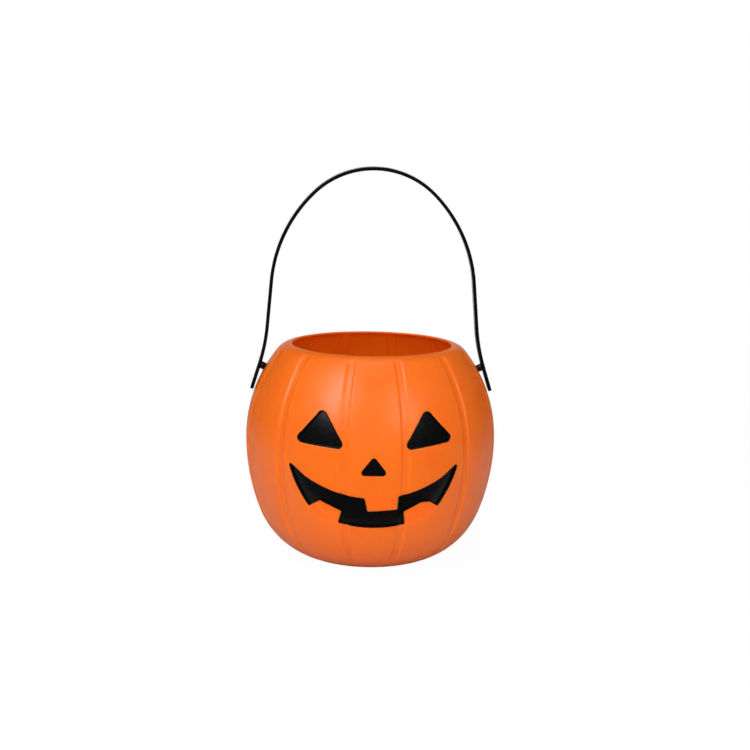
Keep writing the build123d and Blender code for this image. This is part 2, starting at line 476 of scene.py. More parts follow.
@dataclass
class Mesh:
    """Vertices and faces that are gathered piece by piece before they become one object."""

    points: list[Array] = field(default_factory=list)
    faces: list[Numbers] = field(default_factory=list)
    count: int = 0

    def add(self, points: Array) -> Numbers:
        """Adds points to the mesh.

        Args:
            points: Points in millimetres, of shape (..., 3).

        Returns:
            Their numbers, in the same shape.
        """
        flat = points.reshape(-1, 3)
        numbers = self.count + np.arange(len(flat)).reshape(points.shape[:-1])
        self.points.append(flat)
        self.count += len(flat)
        return numbers

    def quads(self, grid: Numbers, keep: Flags | None = None) -> None:
        """Faces between the rows of a grid of numbers and its columns, the last of which joins the first.

        Args:
            grid: Vertex numbers, rows by columns.
            keep: Which cells to make, all where it is None.
        """
        right = np.roll(grid, -1, axis=1)
        cells = np.stack([grid[:-1], right[:-1], right[1:], grid[1:]], 2)
        self.faces.append(cells.reshape(-1, 4) if keep is None else cells[keep])

    def fan(self, ring: Numbers, point: Array) -> None:
        """Triangles from a ring to one point."""
        tip = self.add(point[None])
        self.faces.append(np.stack([ring, np.roll(ring, -1), np.full(len(ring), tip[0])], 1))

    def rod(self, points: Array, turned: bool = False) -> None:
        """Closed skin over rings of points, with a flat fan over each end.

        Args:
            points: Rings by places round them, anticlockwise as seen from the first end.
            turned: Whether the rings run clockwise instead.
        """
        numbers = self.add(points)
        numbers = numbers[::-1, ::-1] if turned else numbers[::-1]
        self.quads(numbers)
        self.fan(numbers[-1], points[0].mean(0))
        self.fan(numbers[0][::-1], points[-1].mean(0))

    def build(self, name: str, body: Body, node: str, slot: Slot, material: bpy.types.Material) -> None:
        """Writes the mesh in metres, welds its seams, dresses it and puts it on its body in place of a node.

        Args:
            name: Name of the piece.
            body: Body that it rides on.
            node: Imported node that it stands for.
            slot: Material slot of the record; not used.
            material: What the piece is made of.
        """
        mesh = bpy.data.meshes.new(name)
        faces = [face for block in self.faces for face in block.tolist()]
        mesh.from_pydata(np.concatenate(self.points) * MM, [], faces)
        seams = bmesh.new()
        seams.from_mesh(mesh)
        bmesh.ops.remove_doubles(seams, verts=seams.verts, dist=WELD)
        bmesh.ops.dissolve_degenerate(seams, edges=seams.edges, dist=WELD)
        seams.to_mesh(mesh)
        seams.free()
        mesh.polygons.foreach_set("use_smooth", np.ones(len(mesh.polygons), dtype=bool))
        mesh.validate()
        mesh.materials.append(material)
        piece = bpy.data.objects.new(name, mesh)
        bpy.context.scene.collection.objects.link(piece)
        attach(piece, body.value)
        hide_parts(node)
        log.info("%s: %d vertices, %d faces", name, len(mesh.vertices), len(mesh.polygons))


def linear(code: str) -> tuple[float, float, float, float]:
    """Linear colour of an sRGB hex code, by the sRGB transfer curve.

    Args:
        code: Colour as "#RRGGBB".

    Returns:
        Red, green, blue and a full alpha.
    """
    value = np.array([int(code[place : place + 2], 16) for place in (1, 3, 5)]) / 255
    curve = np.where(value <= 0.04045, value / 12.92, ((value + 0.055) / 1.055) ** 2.4)
    return (*curve.tolist(), 1.0)


def empty_tree(owner: bpy.types.Material | bpy.types.World) -> bpy.types.NodeTree:
    """Clears the node tree of a material or world for its own nodes.

    Args:
        owner: Material or world.

    Returns:
        Its empty tree.
    """
    owner.use_nodes = True
    owner.node_tree.nodes.clear()
    return owner.node_tree


def add_node(tree: bpy.types.NodeTree, kind: str, inputs: dict[Any, Any], **settings: Any) -> bpy.types.Node:
    """Adds a node with its settings, its input values and its links.

    Args:
        tree: Node tree that gets the node.
        kind: Type of node, without the ShaderNode that all have.
        inputs: Values by socket name or number; a pair of a node and an output makes a link.
        settings: Properties by name.

    Returns:
        The new node.
    """
    node = tree.nodes.new(f"ShaderNode{kind}")
    for name, value in settings.items():
        setattr(node, name, value)
    for name, value in inputs.items():
        if isinstance(value, tuple) and isinstance(value[0], bpy.types.Node):
            tree.links.new(value[0].outputs[value[1]], node.inputs[name])
        else:
            node.inputs[name].default_value = value
    return node


@dataclass(frozen=True)
class Finish:
    """Plastic or paint skin: clouds in its gloss and a peel in its bump.

    Clouds and peel are noise, each given by its size in millimetres and its detail.
    """

    name: str
    colour: str
    roughness: float
    cloud: tuple[float, float]
    peel: tuple[float, float]
    bump: float
    bump_height: float
    glossier: float = 0.04
    duller: float = 0.05
    noise_low: float = 0.3
    noise_high: float = 0.7
    ior: float = 1.51

    def body(self, tree: bpy.types.NodeTree, cloud: bpy.types.Node) -> dict[str, Any]:
        """Inputs of the shader below the skin: here one plain colour, set on its socket."""
        return {"Base Color": linear(self.colour)}

    def material(self) -> bpy.types.Material:
        """Principled skin whose roughness follows the clouds and whose bump follows the peel.

        Returns:
            The material.
        """
        material = bpy.data.materials.new(self.name)
        tree = empty_tree(material)
        spot = (add_node(tree, "TexCoord", {}), "Object")
        noise = {
            grain: add_node(tree, "TexNoise", {
                "Vector": spot, "Scale": 1 / (grain[0] * MM), "Detail": grain[1]})
            for grain in {self.cloud, self.peel}}
        gloss = add_node(tree, "MapRange", {
            "Value": (noise[self.cloud], "Fac"), "From Min": self.noise_low, "From Max": self.noise_high,
            "To Min": self.roughness - self.glossier, "To Max": self.roughness + self.duller})
        bump = add_node(tree, "Bump", {
            "Height": (noise[self.peel], "Fac"), "Strength": self.bump, "Distance": self.bump_height * MM})
        shader = add_node(tree, "BsdfPrincipled", {
            "Roughness": (gloss, "Result"), "Normal": (bump, "Normal"), "IOR": self.ior,
            **self.body(tree, noise[self.cloud])})
        add_node(tree, "OutputMaterial", {"Surface": (shader, "BSDF")})
        return material


@dataclass(frozen=True)
class SatinPolyethylene(Finish):
    """Blow-moulded orange polyethylene: a satin, waxy wall that lets some light through.

    The flow in the mould leaves clouds of slightly deeper colour and uneven gloss, and the mould's etched
    skin leaves a faint orange peel.
    """

    name: str = "orange_polyethylene_blow_moulded"
    colour: str = "#F56A10"
    shade: str = "#F0640C"
    roughness: float = 0.36
    cloud: tuple[float, float] = (22.0, 3.0)
    peel: tuple[float, float] = (1.6, 2.0)
    bump: float = 0.08
    bump_height: float = 0.1
    glow: float = 0.85
    glow_depth: float = 8.0
    glow_colours: tuple[float, float, float] = (1.0, 0.7, 0.12)

    def body(self, tree: bpy.types.NodeTree, cloud: bpy.types.Node) -> dict[str, Any]:
        """Clouded colour, and light that spreads in the wall, red furthest.

        Args:
            tree: Node tree of the material.
            cloud: Noise of the clouds.

        Returns:
            Inputs of the shader.
        """
        colour = add_node(tree, "Mix", {
            0: (cloud, "Fac"), 6: linear(self.shade), 7: linear(self.colour)}, data_type="RGBA")
        return {"Base Color": (colour, "Result"), "Subsurface Weight": self.glow,
                "Subsurface Radius": self.glow_colours, "Subsurface Scale": self.glow_depth * MM}


@dataclass(frozen=True)
class GlossPolyethylene(Finish):
    """Injection-moulded black polyethylene: a glossy skin, its reflections broken up by soft ripples."""

    name: str = "black_polyethylene_moulded"
    colour: str = "#060606"
    roughness: float = 0.2
    glossier: float = 0.05
    duller: float = 0.08
    cloud: tuple[float, float] = (7.0, 2.0)
    peel: tuple[float, float] = (7.0, 2.0)
    bump: float = 0.25
    bump_height: float = 0.4


@dataclass(frozen=True)
class SprayedPaint(Finish):
    """Sprayed black gloss paint: a smooth dark film with a slight peel."""

    name: str = "black_gloss_paint_sprayed"
    colour: str = "#050505"
    roughness: float = 0.27
    cloud: tuple[float, float] = (2.2, 2.0)
    peel: tuple[float, float] = (2.2, 2.0)
    bump: float = 0.1
    bump_height: float = 0.1
    ior: float = 1.5
    specular: float = 0.4

    def body(self, tree: bpy.types.NodeTree, cloud: bpy.types.Node) -> dict[str, Any]:
        """Plain colour under a weak reflection."""
        return {**super().body(tree, cloud), "Specular IOR Level": self.specular}


@dataclass(frozen=True)
class Meridian:
    """Outer meridian of the pail: heel, side, upper side and shoulder arcs, each tangent to the next."""

    belly_radius: float = 105.0
    belly_height: float = 101.6
    pail_height: float = 180.5
    foot_radius: float = 50.0
    side_radius: float = 167.5
    side_turn: float = 21.9
    upper_radius: float = 117.5
    shoulder_radius: float = 14.9

    def arcs(self) -> dict[str, tuple[float, float, float, float, float]]:
        """Centre radius, centre height, radius, first and last direction of each arc.

        Returns:
            The arcs by name, from the foot to the lip.
        """
        rise = self.pail_height - self.shoulder_radius - self.belly_height
        upper_turn = np.degrees(np.arcsin(rise / (self.upper_radius - self.shoulder_radius)))
        side_way, upper_way = compass(np.radians(-self.side_turn)), compass(np.radians(upper_turn))
        side_centre = np.array([self.belly_radius - self.side_radius, self.belly_height])
        upper_centre = np.array([self.belly_radius - self.upper_radius, self.belly_height])
        heel_start = side_centre + self.side_radius * side_way
        reach = np.array([self.foot_radius, 0]) - heel_start
        heel_radius = -reach @ reach / (2 * reach @ side_way)
        heel_centre = heel_start - heel_radius * side_way
        foot_angle = np.degrees(np.arctan2(-heel_centre[1], self.foot_radius - heel_centre[0]))
        shoulder_centre = upper_centre + (self.upper_radius - self.shoulder_radius) * upper_way
        return {
            "heel": (*heel_centre, heel_radius, foot_angle, -self.side_turn),
            "side": (*side_centre, self.side_radius, -self.side_turn, 0),
            "upper": (*upper_centre, self.upper_radius, 0, upper_turn),
            "shoulder": (*shoulder_centre, self.shoulder_radius, upper_turn, 90),
        }

    def radius_at(self, height: Array, depth: Array | float) -> Array:
        """Radius of the wall at each height, a depth inside: the centre of the arc there plus its chord."""
        arc = np.where(height < self.belly_height, self.side_radius, self.upper_radius)
        return self.belly_radius - arc + np.sqrt((arc - depth) ** 2 - (height - self.belly_height) ** 2)


@dataclass(frozen=True)
class Ribs:
    """Grooves along the meridians: a flat floor between rounded banks, with a whole lobe at the front."""

    count: int = 12
    front_span: float = 27.5
    eye_span: float = 32.3
    depth: float = 1.1
    floor_half: float = 1.9
    bank_half: float = 4.4
    top_fade: float = 20.0
    heel_fade: float = 51.0
    fine_span: float = 4.3
    fine_columns: int = 14
    lobe_columns: int = 8

    def middles(self) -> Array:
        """Azimuths of the grooves: beside the front lobe, beside the eyes' lobes, then evenly round.

        Returns:
            Degrees from the front, in order.
        """
        near = self.front_span / 2
        first = near + self.eye_span
        turned = np.concatenate([[-near, near], np.linspace(first, 360 - first, self.count - 2)])
        return np.sort((turned + 180) % 360 - 180)

    def azimuths(self) -> Array:
        """Columns of the wall: close together across each groove and wide apart on the lobes.

        Returns:
            Azimuths from the front, in radians, once round from the first groove.
        """
        fine, middles = self.fine_span, self.middles()
        span = np.diff(np.append(middles, middles[0] + 360))[:, None]
        near = np.linspace(0, fine, self.fine_columns)[None] + 0 * span
        lobe = fine + (span - 2 * fine) * np.linspace(0, 1, self.lobe_columns)[1:-1]
        columns = np.concatenate([near, lobe, span - near[:, :0:-1]], axis=1)
        return np.radians((middles[:, None] + columns).ravel())

    def depth_at(self, azimuth: Array, radius: Array, widen: Array | float = 0.0) -> Array:
        """Groove depth by the distance along the ring to the nearest groove's middle.

        Args:
            azimuth: Azimuth from the front, in radians.
            radius: Radius of the ring.
            widen: Added to each half width.

        Returns:
            Depth below the lobes.
        """
        turn = np.asarray(azimuth)[..., None] - np.radians(self.middles())
        away = radius * np.abs((turn + np.pi) % (2 * np.pi) - np.pi).min(-1)
        return self.depth * (1 - smoothstep(self.floor_half + widen, self.bank_half + widen, away))

    def fade(self, turned: Array, length: float) -> Array:
        """Share of the depth left after a turn: the floor climbs as 1 - cos of the turn."""
        climb = (1 - np.cos(np.radians(turned))) / (1 - np.cos(np.radians(length)))
        return 1 - np.clip(climb, 0, 1)


@dataclass(frozen=True)
class Eye:
    """Leaning triangle with rounded corners."""

    side: Side
    outer_rise: float
    inner_offset: float = 26.1
    width: float = 34.9
    bottom: float = 111.6
    height: float = 27.9
    peak_offset: float = 15.4
    rounding: float = 3.0

    def outline(self) -> Array:
        """Circles about three centres joined by their outer tangents: a triangle offset by the rounding.

        Returns:
            Anticlockwise points (x, z).
        """
        r, near, low = self.rounding, self.inner_offset, self.bottom
        corners = [(near + r, low + r), (near + self.width - r, low + self.outer_rise),
                   (near + self.peak_offset, low + self.height - r)]
        outline = swell(np.array(corners), r)
        return outline if self.side is Side.RIGHT else (outline * [-1, 1])[::-1]


@dataclass(frozen=True)
class Nose:
    """Upright triangle with rounded corners."""

    bottom: float = 90.8
    height: float = 13.3
    half_width: float = 9.2
    middle: float = -0.5
    rounding: float = 1.8

    def outline(self) -> Array:
        """Circles about three centres joined by their outer tangents.

        Returns:
            Anticlockwise points (x, z).
        """
        low, half = self.bottom + self.rounding, self.half_width - self.rounding
        peak = self.bottom + self.height - self.rounding
        corners = np.array([(-half, low), (half, low), (0, peak)])
        return swell(corners + [self.middle, 0], self.rounding)


@dataclass(frozen=True)
class Grin:
    """Mouth between one upper arc and a lower lip of five tangent arcs, with teeth that stand in it.

    Corners of the teeth are shares of the half width and of the rise from the lower lip to the tips.
    """

    half_width: float = 66.4
    tip_height: float = 93.7
    end_swell: float = 1.0
    swell_start: float = 53.0
    swell_end: float = 65.0
    upper_height: float = 70.8
    lower_height: float = 46.0
    lower_radius: float = 120.0
    lower_turn: float = 18.2
    corner_radius: float = 30.4
    corner_turn: float = 41.4
    tooth_round: float = 1.4
    step: float = 0.25
    tooth_shares: tuple[tuple[tuple[float, float], ...], ...] = (
        ((-0.134, 0.62), (-0.075, 0.282), (0.294, 0.317), (0.303, 0.66)),
        ((-0.6, -0.02), (-0.432, -0.01), (-0.378, 0.285), (-0.648, 0.452), (-0.785, 0.32)),
        ((0.6, -0.02), (0.8, 0.1), (0.85, 0.275), (0.685, 0.437), (0.575, 0.437), (0.357, 0.283),
         (0.383, 0.0)),
    )

    def outline(self) -> Array:
        """Whole mouth: the lower lip from tip to tip, then the upper lip back.

        Returns:
            Anticlockwise points (x, z).
        """
        tip = np.array([self.half_width, self.tip_height])
        lower = Pen(np.array([0.0, self.lower_height]), 0, self.step)
        lower.bend(self.lower_radius, self.lower_turn).bend(self.corner_radius, self.corner_turn)
        right = lower.bend_to(tip).points()
        sag = self.tip_height - self.upper_height
        radius = (self.half_width**2 + sag**2) / (2 * sag)
        half_turn = np.degrees(np.arcsin(self.half_width / radius))
        upper = Pen(tip * [-1, 1], -half_turn, self.step).bend(radius, 2 * half_turn).points()
        left = right[:0:-1] * [-1, 1]
        return np.concatenate([left, right, upper[-2:0:-1]])

    def dark_outline(self) -> Array:
        """Mouth less its teeth, each run past the lip it grows from, and pushed out to blunt ends.

        Returns:
            Anticlockwise points (x, z).
        """
        dark, low = self.outline(), np.array([0, self.lower_height])
        scale = np.array([self.half_width, self.tip_height - self.lower_height])
        for shares in self.tooth_shares:
            tooth = round_corners(np.array(shares) * scale + low, self.tooth_round)
            dark = bite(dark, even_loop(tooth, self.step))
        dark = fan_tips(dark)
        push = self.end_swell * smoothstep(self.swell_start, self.swell_end, np.abs(dark[:, 0]))
        return dark + push[:, None] * loop_normals(dark)


@dataclass
class FaceRelief:
    """The face: recesses drawn straight along Y, with floors that follow the belly and rounded edges."""

    meridian: Meridian
    ribs: Ribs
    recess_depth: float = 2.4
    tooth_drop: float = 0.5
    tooth_ramp: float = 0.7
    film: float = 0.25
    step: float = 0.55
    softening: float = 0.45
    eye_shoulder: float = 1.3
    mouth_shoulder: float = 0.75
    band: float = 0.35
    foot_round: float = 0.05
    edge_points: int = 7
    floor_step: float = 3.0
    floor_clear: float = 1.0
    skin_rounds: int = 3
    root_lines: int = 5
    inset: float = 0.04
    bulge_start: float = 4.5
    bulge_end: float = 0.8
    left_eye_rise: float = 5.4
    right_eye_rise: float = 6.6

    def __post_init__(self) -> None:
        """Draws the outlines once."""
        grin = Grin()
        shapes = {
            "left_eye": Eye(Side.LEFT, self.left_eye_rise).outline(),
            "right_eye": Eye(Side.RIGHT, self.right_eye_rise).outline(),
            "nose": Nose().outline(),
            "mouth": grin.dark_outline(),
        }
        self.loops = {name: soften_loop(shape, self.softening, self.step) for name, shape in shapes.items()}
        self.loops["mouth"] = fan_tips(self.loops["mouth"])
        self.lip_line = even_loop(grin.outline(), self.step)

    def shoulder(self, name: str) -> float:
        """Radius of the rounded edge of a recess."""
        return self.mouth_shoulder if name == "mouth" else self.eye_shoulder

    def floor(self, spot: Array, depth: Array | float) -> Array:
        """y over places (x, z) on the surface a depth inside the smooth belly."""
        return -np.sqrt(self.meridian.radius_at(spot[:, 1], depth) ** 2 - spot[:, 0] ** 2)

    def skin(self, spot: Array) -> Array:
        """Outer skin over places (x, z): y solved by a few rounds of azimuth, depth and radius.

        The skin lies below the smooth belly by the grooves, and in the mouth by the drop of the teeth.

        Args:
            spot: Places (x, z), shape (n, 2).

        Returns:
            y of each place.
        """
        tooth = smoothstep(-self.tooth_ramp, self.tooth_ramp, depth_inside(spot, self.lip_line))
        depth = np.zeros(len(spot))
        for _ in range(self.skin_rounds):
            azimuth = np.arctan2(spot[:, 0], -self.floor(spot, depth))
            groove = self.ribs.depth_at(azimuth, self.meridian.radius_at(spot[:, 1], depth))
            depth = self.inset + groove * (1 - tooth) + self.tooth_drop * tooth
        return self.floor(spot, depth)

    def edge_profile(self, name: str) -> tuple[Array, Array]:
        """Section of a recess edge: skin, quarter-round shoulder, straight wall, small round at its foot.

        Args:
            name: Recess.

        Returns:
            Offset outwards from the outline, and the share of the way down, of each row.
        """
        shoulder, foot, depth = self.shoulder(name), self.foot_round, self.recess_depth
        turn = quarter(self.edge_points)
        out = [[shoulder + self.band], shoulder * (1 - np.sin(turn)), -foot * (1 - np.cos(turn))]
        down = [[0], shoulder * (1 - np.cos(turn)), depth - foot + foot * np.sin(turn)]
        return np.concatenate(out), np.concatenate(down) / depth

    def edge_rows(self, name: str) -> Array:
        """Recess edge from the skin to the floor: its section carried along the outline.

        Args:
            name: Recess.

        Returns:
            Points, rows by places along the outline.
        """
        loop = self.loops[name]
        out, down = self.edge_profile(name)
        spots = loop[None] + out[:, None, None] * loop_normals(loop)[None]
        flat, sunk = spots.reshape(-1, 2), np.repeat(down, len(loop))
        y = self.skin(flat) * (1 - sunk) + self.floor(flat, self.recess_depth) * sunk
        return raised(flat, y).reshape(*spots.shape[:2], 3)

    def add_floor(self, mesh: Mesh, rim: Array, depth: float, order: int = 1) -> None:
        """Fills a rim with triangles that follow the belly a depth inside it, over an even grid of points.

        Args:
            mesh: Mesh that gets the triangles.
            rim: Points of the rim, anticlockwise as the viewer sees it.
            depth: Depth inside the smooth belly.
            order: 1 for faces towards the viewer, -1 for faces away.
        """
        edge, gap = rim[:, [0, 2]], self.floor_step
        low, high = edge.min(0), edge.max(0)
        x, z = np.meshgrid(np.arange(low[0], high[0], gap), np.arange(low[1], high[1], gap))
        x = x + (np.arange(len(x)) % 2)[:, None] * gap / 2
        spots = np.stack([x.ravel(), z.ravel()], 1)
        spots = np.concatenate([edge, spots[depth_inside(spots, edge) > self.floor_clear]])
        triangles = triangulate(spots, [np.arange(len(edge))])
        triangles = triangles[inside(spots[triangles].mean(1), edge)]
        mesh.faces.append(mesh.add(raised(spots, self.floor(spots, depth)))[triangles][:, ::order])

    def root_points(self) -> Array:
        """Skin on each side of the lip line where a tooth grows across it, so that the small step shows.

        Returns:
            Points of the skin.
        """
        normals = loop_normals(self.lip_line)
        offsets = np.linspace(-self.tooth_ramp, self.tooth_ramp, self.root_lines)
        spots = np.concatenate([self.lip_line + offset * normals for offset in offsets])
        spots = spots[depth_inside(spots, self.loops["mouth"]) < -self.mouth_shoulder - 2 * self.band]
        return raised(spots, self.skin(spots))

    def bulge(self, spot: Array) -> Array:
        """How far the inner wall stands in behind the recesses: a soft step round each outline.

        Args:
            spot: Places (x, z) on the front half.

        Returns:
            Extra depth of the inner wall.
        """
        outlines = [self.loops[name] for name in ("left_eye", "right_eye", "nose")] + [self.lip_line]
        deepest = np.max([depth_inside(spot, outline) for outline in outlines], axis=0)
        return self.recess_depth * smoothstep(-self.bulge_start, -self.bulge_end, deepest)


@dataclass
class Wall:
    """Grid of the wall's points, unrolled to a plane, and the cells that are still in it."""

    mesh: Mesh
    grid: Numbers
    plane: Array
    radius: float
    keep: Flags = field(init=False)
    rim_gap: float = 0.7
    root_gap: float = 0.8

    def __post_init__(self) -> None:
        """Starts with every cell in place."""
        self.keep = np.ones((len(self.grid) - 1, self.grid.shape[1]), dtype=bool)

    def flatten(self, points: Array) -> Array:
        """Unrolls points of the wall to the plane: azimuth times the belly's radius, and height."""
        azimuth = np.arctan2(points[:, 0], -points[:, 1])
        return np.stack([azimuth * self.radius, points[:, 2]], 1)

    def patch(self, rows: Numbers, azimuths: Sequence[float], heights: Sequence[float],
              rims: Sequence[tuple[Numbers, Array]], roots: tuple[Numbers, Array] | None = None) -> None:
        """Takes a block of cells out of the wall and fills it with triangles round the rims of its cuts.

        Args:
            rows: Rings of the wall's skin.
            azimuths: Degrees between which the block lies.
            heights: Heights in the plane between which it lies.
            rims: Numbers and unrolled places of each cut's rim.
            roots: Numbers and unrolled places of more points on the skin.
        """
        degrees = np.degrees(self.plane[0, :, 0] / self.radius)
        column = np.flatnonzero((degrees >= azimuths[0] - TINY) & (degrees <= azimuths[1] + TINY))
        level = self.plane[rows, 0, 1]
        row = rows[(level >= heights[0]) & (level <= heights[1])]
        self.keep[np.ix_(row[:-1], column[:-1])] = False
        block = np.ix_(row, column)
        numbers, places = self.grid[block], self.plane[block]
        border = np.zeros(numbers.shape, dtype=bool)
        border[[0, -1]] = True
        border[:, [0, -1]] = True
        free = ~border
        free[free] = np.max([depth_inside(places[free], rim) for _, rim in rims], axis=0) < -self.rim_gap
        parts = [(numbers[border], places[border]), *rims]
        if roots is not None:
            away = np.linalg.norm(places[free][:, None] - roots[1][None], axis=2).min(1)
            free[free] = away > self.root_gap
            parts.append(roots)
        parts.append((numbers[free], places[free]))
        starts = np.cumsum([len(part) for part, _ in parts])
        loops = [np.arange(starts[index], starts[index + 1]) for index in range(len(rims))]
        table, flat = [np.concatenate(kind) for kind in zip(*parts)]
        triangles = triangulate(flat, loops)
        cut = np.any([inside(flat[triangles].mean(1), rim) for _, rim in rims], axis=0)
        self.mesh.faces.append(table[triangles[~cut]])


@dataclass
class PailShell:
    """The blow-moulded body: base, ribbed wall, lip and inner wall, with recesses and stud holes cut in."""

    meridian: Meridian
    ribs: Ribs
    relief: FaceRelief
    wall: float = 1.6
    mouth_radius: float = 67.0
    lip_round: float = 0.6
    standing_ring_width: float = 9.0
    push_up: float = 3.0
    push_up_step: float = 5.0
    base_edge: float = 0.4
    base_rings: tuple[float, float] = (2.0, 18.0)
    foot_gap: float = 3.0
    row_step: float = 2.8
    inner_row_step: float = 3.92
    shoulder_finer: float = 2.5
    groove_widening: float = 0.96
    groove_in_bulge: float = 0.7
    hinge_height: float = 159.5
    hole_radius: float = 4.15
    hole_round: float = 0.45
    hole_margin: float = 2.0
    hole_columns: int = 40
    hole_block: float = 9.0
    hole_block_rise: float = 12.45
    face_azimuth: float = 60.0
    face_low: float = 41.5
    face_high: float = 145.0
    bulge_below: float = 8.0

    def wall_rows(self, depth: float, step: float) -> Rows:
        """Rings along the four arcs of the meridian, from the foot to the lip, a depth inside.

        Args:
            depth: Depth inside the outer surface.
            step: Distance between rings.

        Returns:
            The rings.
        """
        parts = []
        for name, arc in self.meridian.arcs().items():
            first, last, skip, fade = arc[3], arc[4], 1, 1.0
            if name == "heel":
                first, skip = np.degrees(-np.arcsin((arc[1] - depth) / (arc[2] - depth))), 0
            fine = step / self.shoulder_finer if name == "shoulder" else step
            count = int(np.ceil(np.radians(last - first) * arc[2] / fine)) + 1
            angles = np.linspace(first, last, count)[skip:]
            if name == "heel":
                fade = self.ribs.fade(last - angles, self.ribs.heel_fade)
            if name == "shoulder":
                fade = self.ribs.fade(angles - first, self.ribs.top_fade)
            parts.append(Rows.on_arc(arc, angles, depth, fade))
        return Rows.chain(parts)

    def base_rows(self, depth: float) -> Rows:
        """Rings of the base from near the axis to the foot: raised middle, sloped step and standing ring.

        Args:
            depth: Height above the outer face of the base.

        Returns:
            The rings.
        """
        ring = self.meridian.foot_radius - self.standing_ring_width
        top, edge, inner = depth + self.push_up, self.base_edge, ring - self.push_up_step
        fall = edge * self.push_up / self.push_up_step
        return Rows.at(np.array([
            *[(radius, top) for radius in self.base_rings],
            (inner - edge, top), (inner, top - fall / 3), (inner + edge, top - fall),
            (ring - edge, depth + fall), (ring, depth + fall / 3), (ring + edge, depth),
            (self.meridian.foot_radius - self.foot_gap, depth)]))

    def lip_rows(self) -> Rows:
        """Rings over the lip: two quarter rounds at the mouth's edge.

        Returns:
            The rings.
        """
        r, turn = self.lip_round, quarter()
        middle, top = self.mouth_radius + r, self.meridian.pail_height
        low = top - self.wall
        upper = np.stack([middle - r * np.sin(turn), top - r + r * np.cos(turn)], 1)
        lower = np.stack([middle - r * np.cos(turn), low + r - r * np.sin(turn)], 1)
        return Rows.at(np.concatenate([upper, lower]))

    def hole_rows(self, side: Side) -> Array:
        """Edge of a stud hole along X, from the outer skin through the wall to the inner one.

        Args:
            side: Side of the pail.

        Returns:
            Points, rows by places round the hole.
        """
        widening = self.hole_round * np.concatenate([[self.hole_margin], 1 - np.sin(quarter())])
        sink = self.hole_round * np.concatenate([[0], 1 - np.cos(quarter())])[:, None]
        across = self.hole_radius + np.concatenate([widening, widening[::-1]])[:, None]
        angle = np.linspace(0, 2 * np.pi, self.hole_columns, endpoint=False)
        y, z = side.value * across * np.cos(angle), self.hinge_height + across * np.sin(angle)
        outer = np.sqrt(self.meridian.radius_at(z, self.relief.inset) ** 2 - y**2)
        inner = np.sqrt(self.meridian.radius_at(z, self.wall) ** 2 - y**2)
        x = np.concatenate([outer[: len(sink)] - sink, inner[len(sink) :] + sink[::-1]])
        return np.stack([side.value * x, y, z], 2)

    def rings(self, mesh: Mesh) -> tuple[Wall, Numbers, Numbers]:
        """Rings from the base over the wall and the lip, down the inside and back to the middle of the base.

        Args:
            mesh: Mesh that gets the points.

        Returns:
            The wall, and the numbers of its outer and its inner rings.
        """
        azimuth = self.ribs.azimuths()
        outer = self.wall_rows(self.relief.inset, self.row_step)
        inner = self.wall_rows(self.wall, self.inner_row_step).turned()
        base, lip = self.base_rows(0.0), self.lip_rows()
        rows = Rows.chain([base, outer, lip, inner, self.base_rows(self.wall).turned()])
        outer_rings = len(base) + np.arange(len(outer))
        inner_rings = len(base) + len(outer) + len(lip) + np.arange(len(inner))
        is_inner = np.arange(len(rows))[:, None] >= inner_rings[0]

        radius, height = rows.place(0.0)
        widen = np.where(is_inner, self.groove_widening, 0.0)
        sunk = self.ribs.depth_at(azimuth[None], radius, widen) * rows.fade()
        front = (np.abs(azimuth) < np.radians(self.face_azimuth))[None] & is_inner
        front = front & (height > self.face_low - self.bulge_below) & (height < self.face_high)
        behind = np.stack(np.broadcast_arrays(radius * np.sin(azimuth), height), 2)[front]
        sunk[front] += self.relief.bulge(behind) * (1 - self.groove_in_bulge * sunk[front] / self.ribs.depth)
        level = np.where(is_inner, -height, height)
        belly = self.meridian.belly_radius
        plane = np.stack(np.broadcast_arrays(azimuth[None] * belly, level), 2)
        radius, height = rows.place(sunk)
        x, y = radius * np.sin(azimuth), -radius * np.cos(azimuth)
        grid = mesh.add(np.stack([x, y, height * np.ones_like(azimuth)], 2))
        return Wall(mesh, grid, plane, belly), outer_rings, inner_rings

    def build(self) -> None:
        """Makes the rings, cuts the face and the holes out of their cells, and fills round the cuts."""
        mesh, relief = Mesh(), self.relief
        wall, outer_rings, inner_rings = self.rings(mesh)
        rims = []
        for name in relief.loops:
            edge = relief.edge_rows(name)
            numbers = mesh.add(edge)
            mesh.quads(numbers)
            relief.add_floor(mesh, edge[-1], relief.recess_depth)
            rims.append((numbers[0], wall.flatten(edge[0])))
        roots = relief.root_points()
        around, heights = (-self.face_azimuth, self.face_azimuth), (self.face_low, self.face_high)
        wall.patch(outer_rings, around, heights, rims, (mesh.add(roots), wall.flatten(roots)))
        low, high = self.hinge_height - self.hole_block_rise, self.hinge_height + self.hole_block_rise
        for side in Side:
            edge = self.hole_rows(side)
            numbers = mesh.add(edge)
            mesh.quads(numbers)
            around = (side.value * 90 - self.hole_block, side.value * 90 + self.hole_block)
            wall.patch(outer_rings, around, (low, high), [(numbers[0], wall.flatten(edge[0]))])
            wall.patch(inner_rings, around, (-high, -low), [(numbers[-1], wall.flatten(edge[-1]) * [1, -1])])
        mesh.quads(wall.grid, wall.keep)
        mesh.fan(wall.grid[0][::-1], np.array([0, 0, self.push_up]))
        mesh.fan(wall.grid[-1], np.array([0, 0, self.push_up + self.wall]))
        mesh.build("pail_moulding", Body.PAIL, "pail_shell", Slot.SHELL, SatinPolyethylene().material())


